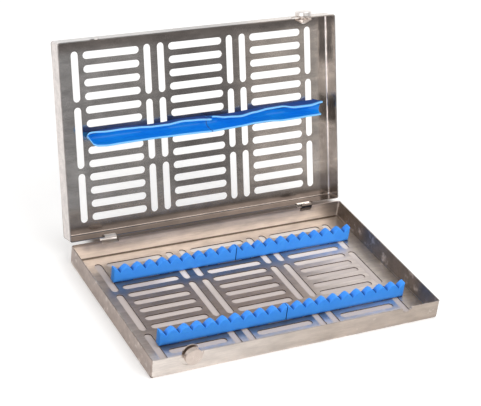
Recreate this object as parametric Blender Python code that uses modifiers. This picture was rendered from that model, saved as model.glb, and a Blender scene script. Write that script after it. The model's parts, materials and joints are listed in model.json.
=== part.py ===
# Dental instrument cassette: two like half trays, hooked together at the back and held shut
# by two turning knobs, with toothed silicone rails in the base and soft strips in the lid.
# Metres, +Z up, the open front towards -Y. Stored with the lid open, resting on its stops.
import math

import bmesh
import bpy
from mathutils import Matrix, Vector

# whole cassette
CASSETTE_WIDTH = 0.280
CASSETTE_DEPTH = 0.180
HALF_HEIGHT = 0.018          # outer face of a plate to the line where the halves part
OPEN_ANGLE = math.radians(108.0)
CLEARANCE = 0.0003           # left between pieces that touch

# folded sheet
SHEET = 0.0009
FOLD_RADIUS = 0.0018         # outside radius along the plate's edges
FOLD_STEPS = 4
CORNER_RADIUS = 0.0022       # outside radius of the upright corners
CORNER_STEPS = 4
RIM_GAP = 0.00015            # each rim ends this far from the parting line

# slots in each plate
SLOT_WIDTH = 0.0068
ROW_COUNT = 13
ROW_PITCH = 0.01235
COLUMN_LENGTH = 0.0545
COLUMN_OFFSET = 0.0835       # middles of the outer columns from the middle of the plate
BRIDGE = 0.0044              # steel between a row slot's end and the cross slot beside it
OUTER_CROSS_NEAR = 0.0327    # ends of the outer cross slots, from the middle of the plate
OUTER_CROSS_FAR = 0.0785
MIDDLE_CROSS_REACH = 0.0281
SLOT_END_POINTS = 6

# hook hinge, measured from the parting line at the outer face of the back wall
HINGE_FROM_SIDE = 0.038      # hook and slot centres from the cassette's side
HINGE_OUT = 0.0015           # line that the lid turns about, behind the wall
HINGE_PLAY = 0.0003          # between the hook and the bar that it holds
HINGE_SLOT_NEAR = 0.0015     # height of the bar between slot and rim
HINGE_SLOT_PLAY = 0.0007     # between the hook and the slot's other edge
HINGE_SLOT_SIDE = 0.0005     # and its ends
HOOK_WIDTH = 0.0110
HOOK_TIP_ANGLE = math.radians(130.0)
HOOK_ROOT_DROP = 0.0052
HOOK_BEND_DROP = 0.0042      # where the tongue leaves the wall
SHOULDER_WIDTH = 0.0160      # wide foot of the tongue that stops the lid
WINDOW_DROP = 0.0040         # opening left by the tongue

# knob latch, centred on the parting line; depths are counted inwards from the wall's outer face
LATCH_FROM_SIDE = 0.035      # shank's middle from the cassette's side
NOTCH_RADIUS = 0.0046
DISH_RADIUS = 0.0115
DISH_DEPTH = 0.00035
KNOB_RADIUS = 0.0079
KNOB_THICKNESS = 0.0041
KNOB_EDGE = 0.0007
SHANK_RADIUS = 0.0022
SHANK_TAIL = 0.0005          # shank beyond the clip's groove
WASHER_RADIUS = 0.0065
WASHER_THICKNESS = 0.0007
LATCH_TRAVEL = 0.0006        # half a turn draws knob and washer in by this
COLLAR_RADIUS = 0.0041
COLLAR_BORE = 0.0026
COLLAR_FLANGE_RADIUS = 0.0056
COLLAR_FLANGE_THICKNESS = 0.0009
COLLAR_INSET = 0.00015       # collar's outer end behind the wall's face
LATCH_PLATE_RADIUS = 0.0078
LATCH_PLATE_THICKNESS = 0.0010
CLIP_RADIUS = 0.0040
CLIP_THICKNESS = 0.0008
CLIP_MOUTH = 0.0024
CLIP_GROOVE_RADIUS = 0.0016

# toothed rails of the base
RAIL_LENGTH = 0.1212
RAIL_SPLIT = 0.0006          # between the two rails of a row
RAIL_SHIFT = 0.0055          # the joint sits right of the middle
RAIL_THICKNESS = 0.0068
RAIL_ROWS_FROM_MIDDLE = 4
RAIL_TOP = 0.0156            # tooth tips above the plate's outer face
TOOTH_COUNT = 10
TOOTH_DEPTH = 0.0050
TOOTH_POINTS = 8
TOOTH_ROUND_SHARE = 0.70     # from a plain zigzag towards round crowns
RAIL_EDGE = 0.0005

# soft strips of the lid, left and right as seen with the lid open
STRIP_LENGTH = 0.1184
STRIP_SPLIT = 0.0006
STRIP_SHIFT = 0.0066         # the joint sits right of the middle
STRIP_TOP = 0.0168           # lips above the plate's outer face
STRIP_FOOT = 0.0050
STRIP_HALF_MOUTH = 0.0065
STRIP_WALL = 0.0017
STRIP_WEB = 0.0026           # solid bottom of the trough
STRIP_SIDE_POINTS = 5
STRIP_STATIONS = 24
STRIP_FLARE_SHARE = 1.15
LEFT_UPPER_SHARES = (0.97, 1.06, 1.15, 1.08, 0.93, 0.92, 1.12, 1.02, 0.84)
LEFT_LOWER_SHARES = (1.02, 1.08, 1.02, 0.99, 0.97, 1.00, 1.00, 1.05, 1.12)
RIGHT_UPPER_SHARES = (0.95, 0.62, 0.55, 1.08, 1.35, 1.36, 0.84, 1.15, 1.32)
RIGHT_LOWER_SHARES = (0.84, 0.88, 0.76, 0.50, 0.48, 0.64, 0.46, 0.42, 0.44)

# plugs that press into the row slots and end flush with the plate
PLUG_LENGTH = 0.0120
RAIL_PLUG_WIDTH = 0.0062
STRIP_PLUG_WIDTH = 0.0040
PLUG_SINK = 0.0010           # how far a plug's root reaches into its moulding
# places along the moulding, each drawn to the nearest slot
LEFT_RAIL_PLUG_SHARES = (0.12, 0.417, 0.818)
RIGHT_RAIL_PLUG_SHARES = (0.10, 0.493, 0.79)
LEFT_STRIP_PLUG_SHARES = (0.10, 0.393, 0.827)
RIGHT_STRIP_PLUG_SHARES = (0.094, 0.495, 0.787)

ROUND_STEPS = 36
SMALL_ROUND_STEPS = 20
ARC_POINTS = 14
SMOOTH_ANGLE = math.radians(32.0)
MILLI = 0.001
WELD = 0.000002

HINGE_OFFSET = CASSETTE_WIDTH / 2 - HINGE_FROM_SIDE
# radius of the hook, to the middle of its sheet, round the far corner of the bar
HOOK_RADIUS = math.hypot(HINGE_OUT + SHEET, HINGE_SLOT_NEAR) + HINGE_PLAY + SHEET / 2
# the slot ends beyond the hook's outer side, where that leaves the wall
HINGE_SLOT_FAR = math.sqrt((HOOK_RADIUS + SHEET / 2) ** 2 - HINGE_OUT ** 2) + HINGE_SLOT_PLAY
LATCH_OFFSET = CASSETTE_WIDTH / 2 - LATCH_FROM_SIDE
# the model's origin is under the bar just behind the middle slot of the base plate
HINGE_BEHIND_ORIGIN = (CASSETTE_DEPTH - ROW_PITCH) / 2

SHEET_STEEL = (0.62, 0.61, 0.59, 1.0)
TURNED_STEEL = (0.70, 0.70, 0.69, 1.0)
RAIL_BLUE = (0.052, 0.305, 0.912, 1.0)
STRIP_BLUE = (0.010, 0.180, 0.760, 1.0)


def clearScene():
    for item in list(bpy.data.objects):
        bpy.data.objects.remove(item, do_unlink=True)


def newCollection(name):
    group = bpy.data.collections.new(name)
    bpy.context.scene.collection.children.link(group)
    return group


def newMaterial(name, color, metallic, roughness):
    material = bpy.data.materials.new(name)
    material.use_nodes = True
    shader = material.node_tree.nodes["Principled BSDF"]
    shader.inputs["Base Color"].default_value = color
    shader.inputs["Metallic"].default_value = metallic
    shader.inputs["Roughness"].default_value = roughness
    return material


def evaluatedMesh(item):
    view = bpy.context.evaluated_depsgraph_get()
    view.update()
    return bpy.data.meshes.new_from_object(item.evaluated_get(view))


def tidyMesh(mesh):
    # one closed skin with its faces outwards
    work = bmesh.new()
    work.from_mesh(mesh)
    bmesh.ops.remove_doubles(work, verts=work.verts, dist=WELD)
    bmesh.ops.recalc_face_normals(work, faces=work.faces)
    work.to_mesh(mesh)
    work.free()
    return mesh


def prism(outlines, depth):
    # flat outlines in X and Y, filled, standing from 0 to depth in Z; inner outlines are holes
    curve = bpy.data.curves.new("outline", "CURVE")
    curve.dimensions = "2D"
    curve.fill_mode = "BOTH"
    curve.extrude = depth / MILLI / 2
    for points in outlines:
        spline = curve.splines.new("POLY")
        spline.points.add(len(points) - 1)
        for slot, (x, y) in zip(spline.points, points):
            slot.co = (x / MILLI, y / MILLI, 0, 1)
        spline.use_cyclic_u = True
    holder = bpy.data.objects.new("outline", curve)
    bpy.context.scene.collection.objects.link(holder)
    mesh = evaluatedMesh(holder)
    bpy.data.objects.remove(holder, do_unlink=True)
    bpy.data.curves.remove(curve)
    mesh.transform(Matrix.Translation((0, 0, depth / 2)) @ Matrix.Scale(MILLI, 4))
    return tidyMesh(mesh)


def turned(profile, steps):
    # spins (radius, height) points, listed from the top down the outer side, about Z
    work = bmesh.new()
    points = [work.verts.new((radius, 0, height)) for radius, height in profile]
    edges = [work.edges.new(pair) for pair in zip(points, points[1:])]
    bmesh.ops.spin(work, geom=points + edges, cent=(0, 0, 0), axis=(0, 0, 1),
                   angle=2 * math.pi, steps=steps, use_merge=True)
    bmesh.ops.remove_doubles(work, verts=work.verts, dist=WELD)
    bmesh.ops.recalc_face_normals(work, faces=work.faces)
    mesh = bpy.data.meshes.new("turned")
    work.to_mesh(mesh)
    work.free()
    return mesh


def combined(mesh, others, operation):
    # joins or cuts solid meshes and gives one baked mesh
    scene = bpy.context.scene.collection
    holder = bpy.data.objects.new("work", mesh)
    scene.objects.link(holder)
    helpers = []
    for other in others:
        helper = bpy.data.objects.new("helper", other)
        scene.objects.link(helper)
        helpers.append(helper)
        step = holder.modifiers.new("step", "BOOLEAN")
        step.operation = operation
        step.solver = "EXACT"
        step.object = helper
    result = evaluatedMesh(holder)
    for item in helpers + [holder]:
        bpy.data.objects.remove(item, do_unlink=True)
    return tidyMesh(result)


def moved(mesh, matrix):
    copy = mesh.copy()
    copy.transform(matrix)
    return copy


def circle(radius, steps, center=(0, 0)):
    return [(center[0] + radius * math.cos(2 * math.pi * i / steps),
             center[1] + radius * math.sin(2 * math.pi * i / steps)) for i in range(steps)]


def stadium(center, length, width, upright):
    # a slot with round ends, lying along X or along Y
    radius = width / 2
    reach = length / 2 - radius
    points = []
    for end in (1, -1):
        for i in range(SLOT_END_POINTS + 1):
            angle = math.pi * (i / SLOT_END_POINTS - 0.5)
            x = end * (reach + radius * math.cos(angle))
            y = end * radius * math.sin(angle)
            points.append((-y, x) if upright else (x, y))
    return [(center[0] + x, center[1] + y) for x, y in points]


def band(path, thickness):
    # outline of a sheet seen on edge, following the path down its middle
    sides = ([], [])
    for i, (x, y) in enumerate(path):
        before = Vector(path[max(i - 1, 0)])
        after = Vector(path[min(i + 1, len(path) - 1)])
        here = Vector((x, y))
        first = (here - before).normalized() if i else (after - here).normalized()
        last = (after - here).normalized() if i < len(path) - 1 else first
        along = (first + last).normalized()
        across = Vector((-along.y, along.x)) * (thickness / 2 / max(along.dot(first), 0.5))
        sides[0].append(tuple(here + across))
        sides[1].append(tuple(here - across))
    return sides[0] + sides[1][::-1]


def slotOutlines():
    outlines = []
    middle = -CASSETTE_DEPTH / 2
    for row in range(ROW_COUNT):
        y = middle + (row - (ROW_COUNT - 1) / 2) * ROW_PITCH
        for column in (-1, 0, 1):
            outlines.append(stadium((column * COLUMN_OFFSET, y), COLUMN_LENGTH, SLOT_WIDTH, False))
    aside = COLUMN_LENGTH / 2 + BRIDGE + SLOT_WIDTH / 2
    crossings = [column * COLUMN_OFFSET + side * aside for column in (-1, 0, 1) for side in (-1, 1)]
    outerLength = OUTER_CROSS_FAR - OUTER_CROSS_NEAR
    outerMiddle = (OUTER_CROSS_FAR + OUTER_CROSS_NEAR) / 2
    for x in crossings:
        outlines.append(stadium((x, middle), 2 * MIDDLE_CROSS_REACH, SLOT_WIDTH, True))
        for side in (-1, 1):
            outlines.append(stadium((x, middle + side * outerMiddle), outerLength, SLOT_WIDTH, True))
    return outlines


def trayShell():
    # folded tray without holes: plate down, rim up, back wall at Y = 0
    height = HALF_HEIGHT - RIM_GAP
    work = bmesh.new()
    bmesh.ops.create_cube(work, size=1)
    bmesh.ops.scale(work, vec=(CASSETTE_WIDTH, CASSETTE_DEPTH, height), verts=work.verts)
    bmesh.ops.translate(work, vec=(0, -CASSETTE_DEPTH / 2, height / 2), verts=work.verts)
    uprights = [edge for edge in work.edges
                if abs(edge.verts[0].co.z - edge.verts[1].co.z) > height / 2]
    bmesh.ops.bevel(work, geom=uprights, offset=CORNER_RADIUS, segments=CORNER_STEPS,
                    profile=0.5, affect="EDGES")
    folds = [edge for edge in work.edges if all(v.co.z < FOLD_RADIUS for v in edge.verts)]
    bmesh.ops.bevel(work, geom=folds, offset=FOLD_RADIUS, segments=FOLD_STEPS,
                    profile=0.5, affect="EDGES")
    work.normal_update()
    lids = [face for face in work.faces if face.normal.z > 0.9]
    bmesh.ops.delete(work, geom=lids, context="FACES")
    mesh = bpy.data.meshes.new("tray")
    work.to_mesh(mesh)
    work.free()
    return mesh


def hookSolid():
    # the curled tongue, placed in the tray's own frame at its left end
    away = Vector((-SHEET / 2 - HINGE_OUT, -HOOK_BEND_DROP))
    start = math.atan2(away.y, away.x) + math.acos(HOOK_RADIUS / away.length)
    path = [(-SHEET / 2, -HOOK_ROOT_DROP), (-SHEET / 2, -HOOK_BEND_DROP)]
    for i in range(ARC_POINTS + 1):
        angle = start + (HOOK_TIP_ANGLE - start) * i / ARC_POINTS
        path.append((HINGE_OUT + HOOK_RADIUS * math.cos(angle), HOOK_RADIUS * math.sin(angle)))
    tongue = moved(prism([band(path, SHEET)], SHOULDER_WIDTH),
                   Matrix.Translation((0, 0, -SHOULDER_WIDTH / 2)))
    # beside the curl the tongue ends where the open lid comes to rest
    far = 4 * HOOK_RADIUS
    block = [(-far, CLEARANCE), (far, CLEARANCE), (far, far), (-far, far)]
    trim = (SHOULDER_WIDTH - HOOK_WIDTH) / 2
    spin = (Matrix.Translation((HINGE_OUT, 0, 0))
            @ Matrix.Rotation(math.pi / 2 - OPEN_ANGLE, 4, "Z"))
    lower = Matrix.Translation((0, HINGE_OUT - 2 * CLEARANCE, 0))
    cutters = []
    for side in (-1, 1):
        shift = Matrix.Translation((0, 0, side * (HOOK_WIDTH / 2 + trim) - trim))
        cutters.append(moved(prism([block], 2 * trim), shift @ spin @ lower))
    tongue = combined(tongue, cutters, "DIFFERENCE")
    stand = Matrix(((0, 0, 1, -HINGE_OFFSET), (1, 0, 0, 0), (0, 1, 0, HALF_HEIGHT), (0, 0, 0, 1)))
    return moved(tongue, stand)


def boxAlong(x0, x1, y0, y1, z0, z1):
    outline = [(x0, y0), (x1, y0), (x1, y1), (x0, y1)]
    return moved(prism([outline], z1 - z0), Matrix.Translation((0, 0, z0)))


def facing(x, depth):
    # turns a solid built along +Z so that it stands inwards from the front wall at this depth
    return (Matrix.Translation((x, -CASSETTE_DEPTH + depth, HALF_HEIGHT))
            @ Matrix.Rotation(-math.pi / 2, 4, "X"))


def addCutter(group, name, mesh):
    item = bpy.data.objects.new(name, mesh)
    item.display_type = "WIRE"
    item.hide_render = True
    group.objects.link(item)
    return item


def addStep(item, name, operation, cutter):
    step = item.modifiers.new(name, "BOOLEAN")
    step.operation = operation
    step.solver = "EXACT"
    step.object = cutter


def buildTray(group, cutters, material):
    tray = bpy.data.objects.new("base_tray", trayShell())
    group.objects.link(tray)
    wall = tray.modifiers.new("sheet", "SOLIDIFY")
    wall.thickness = SHEET
    wall.offset = -1
    wall.use_even_offset = True

    margin = 2 * SHEET
    slots = moved(prism(slotOutlines(), 2 * margin + SHEET), Matrix.Translation((0, 0, -margin)))
    addStep(tray, "slots", "DIFFERENCE", addCutter(cutters, "cut_slots", slots))

    top = HALF_HEIGHT + margin
    half = SHOULDER_WIDTH / 2 + CLEARANCE
    window = boxAlong(-HINGE_OFFSET - half, -HINGE_OFFSET + half,
                      -2 * margin, margin, HALF_HEIGHT - WINDOW_DROP, top)
    addStep(tray, "window", "DIFFERENCE", addCutter(cutters, "cut_window", window))
    half = HOOK_WIDTH / 2 + HINGE_SLOT_SIDE
    hinge = boxAlong(HINGE_OFFSET - half, HINGE_OFFSET + half, -2 * margin, margin,
                     HALF_HEIGHT - HINGE_SLOT_FAR, HALF_HEIGHT - HINGE_SLOT_NEAR)
    addStep(tray, "hinge slot", "DIFFERENCE", addCutter(cutters, "cut_hinge_slot", hinge))

    for side, word in ((-1, "left"), (1, "right")):
        notch = moved(prism([circle(NOTCH_RADIUS, SMALL_ROUND_STEPS)], 3 * margin),
                      facing(side * LATCH_OFFSET, -margin))
        addStep(tray, word + " notch", "DIFFERENCE",
                addCutter(cutters, "cut_notch_" + word, notch))
    dish = moved(prism([circle(DISH_RADIUS, ROUND_STEPS)], margin + DISH_DEPTH),
                 facing(-LATCH_OFFSET, -margin))
    addStep(tray, "dish", "DIFFERENCE", addCutter(cutters, "cut_dish", dish))
    addStep(tray, "hook", "UNION", addCutter(cutters, "add_hook", hookSolid()))
    tray.data.materials.append(material)
    return tray


def plugPlaces(start, length, shares):
    # middles of the plugs: each keeps its place along the moulding as far as its slot allows
    play = (COLUMN_LENGTH - PLUG_LENGTH) / 2 - CLEARANCE
    places = []
    for share in shares:
        wanted = start + length * share
        slot = min((-COLUMN_OFFSET, 0, COLUMN_OFFSET), key=lambda middle: abs(wanted - middle))
        places.append(slot + max(-play, min(play, wanted - slot)))
    return places


def plugs(width, y, places):
    # stadium plugs from inside the silicone down to just short of the plate's outer face
    outlines = [stadium((x, y), PLUG_LENGTH, width, False) for x in places]
    low = CLEARANCE / 3
    return moved(prism(outlines, SHEET + CLEARANCE + PLUG_SINK - low),
                 Matrix.Translation((0, 0, low)))


def toothHeight(along):
    # 0 on a crown, 1 at the bottom of a valley: broad round crowns and narrow valleys
    phase = along % 1
    zigzag = 1 - abs(2 * phase - 1)
    crown = 1 - abs(math.cos(math.pi * phase))
    return TOOTH_ROUND_SHARE * crown + (1 - TOOTH_ROUND_SHARE) * zigzag


def railMesh(start, y, plugShares):
    bottom = SHEET + CLEARANCE
    outline = [(start, bottom), (start + RAIL_LENGTH, bottom)]
    count = TOOTH_COUNT * TOOTH_POINTS
    for i in range(count, -1, -1):
        drop = TOOTH_DEPTH * toothHeight(i / TOOTH_POINTS)
        outline.append((start + RAIL_LENGTH * i / count, RAIL_TOP - drop))
    body = prism([outline], RAIL_THICKNESS)
    work = bmesh.new()
    work.from_mesh(body)
    rims = [edge for edge in work.edges if len(edge.link_faces) == 2
            and edge.calc_face_angle(0) > math.radians(60)
            and abs(edge.verts[0].co.z - edge.verts[1].co.z) < WELD]
    bmesh.ops.bevel(work, geom=rims, offset=RAIL_EDGE, segments=1, profile=0.5,
                    affect="EDGES", clamp_overlap=True)
    work.to_mesh(body)
    work.free()
    stand = Matrix(((1, 0, 0, 0), (0, 0, -1, y + RAIL_THICKNESS / 2), (0, 1, 0, 0), (0, 0, 0, 1)))
    body = tidyMesh(moved(body, stand))
    places = plugPlaces(start, RAIL_LENGTH, plugShares)
    return combined(body, [plugs(RAIL_PLUG_WIDTH, y, places)], "UNION")


def blend(shares, along):
    # smooth curve through evenly spaced shares
    place = along * (len(shares) - 1)
    low = min(int(place), len(shares) - 2)
    part = place - low
    ease = part * part * (3 - 2 * part)
    return shares[low] * (1 - ease) + shares[low + 1] * ease


def stripSide(lip, inner):
    # points up one side of the trough: (distance from the middle, height)
    bottom = SHEET + CLEARANCE
    inset = STRIP_WALL if inner else 0
    low = bottom + (STRIP_WEB if inner else 0)
    foot = STRIP_FOOT / 2 - inset / 2
    points = []
    for i in range(STRIP_SIDE_POINTS + 1):
        part = i / STRIP_SIDE_POINTS
        height = low + (STRIP_TOP - low) * part
        rise = (height - bottom) / (STRIP_TOP - bottom)
        points.append((foot + (lip - inset - foot) * rise ** STRIP_FLARE_SHARE, height))
    return points


def stripSection(upperLip, lowerLip):
    upperOut, upperIn = stripSide(upperLip, False), stripSide(upperLip, True)
    lowerOut, lowerIn = stripSide(lowerLip, False), stripSide(lowerLip, True)
    crown = STRIP_WALL * 0.25
    section = [(across, height) for across, height in upperOut]
    section.append((upperLip - STRIP_WALL / 2, STRIP_TOP + crown))
    section += [(across, height) for across, height in reversed(upperIn)]
    section += [(-across, height) for across, height in lowerIn]
    section.append((-lowerLip + STRIP_WALL / 2, STRIP_TOP + crown))
    section += [(-across, height) for across, height in reversed(lowerOut)]
    return section


def stripMesh(start, upperShares, lowerShares, plugShares):
    # seen from the front with the lid open the first side is the upper one
    middle = -CASSETTE_DEPTH / 2
    work = bmesh.new()
    rings = []
    for station in range(STRIP_STATIONS + 1):
        along = station / STRIP_STATIONS
        section = stripSection(STRIP_HALF_MOUTH * blend(upperShares, along),
                               STRIP_HALF_MOUTH * blend(lowerShares, along))
        x = -(start + STRIP_LENGTH * along)
        rings.append([work.verts.new((x, middle - across, height)) for across, height in section])
    edges = []
    for ring in rings:
        edges.append([work.edges.new((a, b)) for a, b in zip(ring, ring[1:] + ring[:1])])
    for first, second in zip(edges, edges[1:]):
        bmesh.ops.bridge_loops(work, edges=first + second)
    bmesh.ops.holes_fill(work, edges=edges[0])
    bmesh.ops.holes_fill(work, edges=edges[-1])
    bmesh.ops.triangulate(work, faces=[face for face in work.faces if len(face.verts) > 4])
    mesh = bpy.data.meshes.new("strip")
    work.to_mesh(mesh)
    work.free()
    places = [-x for x in plugPlaces(start, STRIP_LENGTH, plugShares)]
    return combined(tidyMesh(mesh), [plugs(STRIP_PLUG_WIDTH, middle, places)], "UNION")


def ringMesh(outer, inner, thickness):
    return prism([circle(outer, ROUND_STEPS), circle(inner, SMALL_ROUND_STEPS)], thickness)


def clipDepth():
    # outer face of the clip, loosened: it rests just clear of the collar's flange
    return flangeDepth() + COLLAR_FLANGE_THICKNESS + CLEARANCE


def flangeDepth():
    return SHEET + 2 * CLEARANCE + LATCH_PLATE_THICKNESS


def knobMesh():
    # built with its face up; height 0 is the outer face of the wall
    back = LATCH_TRAVEL + 2 * CLEARANCE + WASHER_THICKNESS
    face = back + KNOB_THICKNESS
    groove = -(clipDepth() - CLEARANCE)
    grooveEnd = groove - CLIP_THICKNESS - 2 * CLEARANCE
    profile = [(0, face), (KNOB_RADIUS - KNOB_EDGE, face), (KNOB_RADIUS - KNOB_EDGE * 0.3,
               face - KNOB_EDGE * 0.3), (KNOB_RADIUS, face - KNOB_EDGE),
               (KNOB_RADIUS, back + KNOB_EDGE / 2), (KNOB_RADIUS - KNOB_EDGE / 2, back),
               (SHANK_RADIUS, back), (SHANK_RADIUS, groove), (CLIP_GROOVE_RADIUS, groove),
               (CLIP_GROOVE_RADIUS, grooveEnd), (SHANK_RADIUS, grooveEnd),
               (SHANK_RADIUS, grooveEnd - SHANK_TAIL), (0, grooveEnd - SHANK_TAIL)]
    return moved(turned(profile, ROUND_STEPS), Matrix.Rotation(math.pi, 4, "X"))


def collarMesh():
    flange = flangeDepth()
    end = flange + COLLAR_FLANGE_THICKNESS
    bore = COLLAR_BORE
    profile = [(bore, -COLLAR_INSET), (COLLAR_RADIUS, -COLLAR_INSET), (COLLAR_RADIUS, -flange),
               (COLLAR_FLANGE_RADIUS, -flange), (COLLAR_FLANGE_RADIUS, -end), (bore, -end),
               (bore, -COLLAR_INSET)]
    return moved(turned(profile, SMALL_ROUND_STEPS), Matrix.Rotation(math.pi, 4, "X"))


def clipMesh():
    inner = CLIP_GROOVE_RADIUS + CLEARANCE
    points = []
    for radius, order in ((CLIP_RADIUS, 1), (inner, -1)):
        half = math.asin(CLIP_MOUTH / 2 / radius)
        for i in range(SMALL_ROUND_STEPS + 1)[::order]:
            angle = half + (2 * math.pi - 2 * half) * i / SMALL_ROUND_STEPS
            points.append((radius * math.cos(angle), radius * math.sin(angle)))
    return prism([points], CLIP_THICKNESS)


def latchMeshes():
    # every piece of a latch, standing at depth 0 with +Z pointing into the tray
    washerDepth = -(LATCH_TRAVEL + CLEARANCE + WASHER_THICKNESS)
    return {
        "latch_plate": moved(ringMesh(LATCH_PLATE_RADIUS, COLLAR_RADIUS + CLEARANCE,
                                      LATCH_PLATE_THICKNESS),
                             Matrix.Translation((0, 0, SHEET + CLEARANCE))),
        "latch_collar": collarMesh(),
        "latch_washer": moved(ringMesh(WASHER_RADIUS, COLLAR_BORE, WASHER_THICKNESS),
                              Matrix.Translation((0, 0, washerDepth))),
        "latch_knob": knobMesh(),
        "latch_clip": moved(clipMesh(), Matrix.Translation((0, 0, clipDepth()))),
    }


def addPiece(group, name, mesh, frame, origin, material):
    # frame takes the tray's own frame to the world; origin is the piece's turning point there
    mesh = moved(mesh, Matrix.Translation(-origin) @ frame)
    for face in mesh.polygons:
        face.use_smooth = True
    mesh.set_sharp_from_angle(angle=SMOOTH_ANGLE)
    mesh.materials.clear()
    mesh.materials.append(material)
    item = bpy.data.objects.new(name, mesh)
    item.location = origin
    group.objects.link(item)
    return item


def build():
    clearScene()
    group = newCollection("dental_instrument_cassette")
    cutters = newCollection("cutters")
    cutters.hide_render = True

    baseFrame = Matrix.Translation((0, HINGE_BEHIND_ORIGIN, 0))
    hinge = Vector((0, HINGE_BEHIND_ORIGIN + HINGE_OUT, HALF_HEIGHT))
    openTurn = Matrix.Rotation(-OPEN_ANGLE, 4, "X") @ Matrix.Rotation(math.pi, 4, "Y")
    lidFrame = (Matrix.Translation(hinge) @ openTurn
                @ Matrix.Translation((0, -HINGE_OUT, -HALF_HEIGHT)))
    frames = {"base": baseFrame, "lid": lidFrame}

    tray = buildTray(group, cutters, newMaterial("base_tray", SHEET_STEEL, 1.0, 0.30))
    trayMesh = tidyMesh(evaluatedMesh(tray))
    addPiece(group, "lid_tray", trayMesh, lidFrame, hinge,
             newMaterial("lid_tray", SHEET_STEEL, 1.0, 0.30))
    tray.location = (0, HINGE_BEHIND_ORIGIN, 0)
    for cutter in cutters.objects:
        cutter.location = tray.location
    for face in tray.data.polygons:
        face.use_smooth = True
    tray.data.set_sharp_from_angle(angle=SMOOTH_ANGLE)

    still = Vector((0, 0, 0))
    railOffset = RAIL_ROWS_FROM_MIDDLE * ROW_PITCH
    rails = (("left", RAIL_SHIFT - RAIL_SPLIT / 2 - RAIL_LENGTH, LEFT_RAIL_PLUG_SHARES),
             ("right", RAIL_SHIFT + RAIL_SPLIT / 2, RIGHT_RAIL_PLUG_SHARES))
    for end, way in (("front", -1), ("back", 1)):
        for word, start, plugShares in rails:
            name = "base_rail_%s_%s" % (end, word)
            mesh = railMesh(start, -CASSETTE_DEPTH / 2 + way * railOffset, plugShares)
            addPiece(group, name, mesh, baseFrame, still, newMaterial(name, RAIL_BLUE, 0.0, 0.45))

    strips = (("left", STRIP_SHIFT - STRIP_SPLIT / 2 - STRIP_LENGTH, LEFT_UPPER_SHARES,
               LEFT_LOWER_SHARES, LEFT_STRIP_PLUG_SHARES),
              ("right", STRIP_SHIFT + STRIP_SPLIT / 2, RIGHT_UPPER_SHARES,
               RIGHT_LOWER_SHARES, RIGHT_STRIP_PLUG_SHARES))
    for word, start, upper, lower, plugShares in strips:
        name = "lid_strip_" + word
        mesh = stripMesh(start, upper, lower, plugShares)
        addPiece(group, name, mesh, lidFrame, hinge, newMaterial(name, STRIP_BLUE, 0.0, 0.45))

    pieces = latchMeshes()
    for word, frame in frames.items():
        place = frame @ facing(-LATCH_OFFSET, 0)
        center = place @ Vector((0, 0, 0))
        for piece, mesh in pieces.items():
            name = word + "_" + piece
            addPiece(group, name, mesh, place, center,
                     newMaterial(name, TURNED_STEEL, 1.0, 0.25))
    return group


build()
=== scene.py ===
# Dental instrument cassette, lid open: folded stainless trays, blue silicone rails and strips.
# Works in metres. Lengths in the dictionaries are millimetres, except the camera's and the lamps'.
import json
import math

import bmesh
import bpy
from mathutils import Matrix, Vector, noise


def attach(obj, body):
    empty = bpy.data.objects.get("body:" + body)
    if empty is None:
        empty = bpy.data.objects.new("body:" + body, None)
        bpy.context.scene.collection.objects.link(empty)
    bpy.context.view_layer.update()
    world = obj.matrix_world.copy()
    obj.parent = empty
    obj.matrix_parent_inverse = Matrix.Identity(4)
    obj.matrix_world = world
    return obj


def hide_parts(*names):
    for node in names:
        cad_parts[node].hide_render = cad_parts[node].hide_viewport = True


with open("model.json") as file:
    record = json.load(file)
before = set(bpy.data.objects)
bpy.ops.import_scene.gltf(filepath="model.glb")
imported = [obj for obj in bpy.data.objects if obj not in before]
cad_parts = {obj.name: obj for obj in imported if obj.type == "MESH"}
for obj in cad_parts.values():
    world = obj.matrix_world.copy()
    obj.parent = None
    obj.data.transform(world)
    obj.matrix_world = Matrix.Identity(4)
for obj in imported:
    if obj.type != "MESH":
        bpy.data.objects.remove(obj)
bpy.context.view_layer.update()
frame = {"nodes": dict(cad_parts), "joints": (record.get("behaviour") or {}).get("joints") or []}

mm = 0.001
print("frame loaded, %d nodes" % len(frame["nodes"]))


def linearColor(hexColor):
    # sRGB hex to the linear values that sockets want
    values = []
    for i in (1, 3, 5):
        part = int(hexColor[i:i + 2], 16) / 255
        values.append(part / 12.92 if part <= 0.04045 else ((part + 0.055) / 1.055) ** 2.4)
    return (*values, 1.0)


def addNode(tree, kind, settings=None, links=None):
    # one node with its settings (options or socket values) and its incoming links; sockets go by
    # name, or by number where a node repeats a name: a mix has its factor at 0 and what it mixes
    # at 6 and 7 (colours) or 2 and 3 (numbers), and its mixed colour leaves at 2
    node = tree.nodes.new(kind)
    for name, value in (settings or {}).items():
        if name == "stops":
            ramp = node.color_ramp
            while len(ramp.elements) < len(value):
                ramp.elements.new(0.5)
            for element, (place, color) in zip(ramp.elements, value):
                element.position = place
                element.color = linearColor(color)
        elif isinstance(name, int) or name in node.inputs:
            node.inputs[name].default_value = value
        else:
            setattr(node, name, value)
    for name, source in (links or {}).items():
        tree.links.new(source, node.inputs[name])
    return node


def startMaterial(name, place=Matrix()):
    # an empty material and the coordinates of the frame that its patterns follow; meshes hold
    # their places at rest, so object coordinates stay with a piece when it moves
    material = bpy.data.materials.new(name)
    material.use_nodes = True
    tree = material.node_tree
    tree.nodes.clear()
    atRest = addNode(tree, "ShaderNodeTexCoord")
    own = addNode(tree, "ShaderNodeMapping",
                  {"vector_type": "TEXTURE", "Location": place.translation,
                   "Rotation": place.to_euler()}, {"Vector": atRest.outputs["Object"]})
    return material, tree, own.outputs["Vector"]


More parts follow.
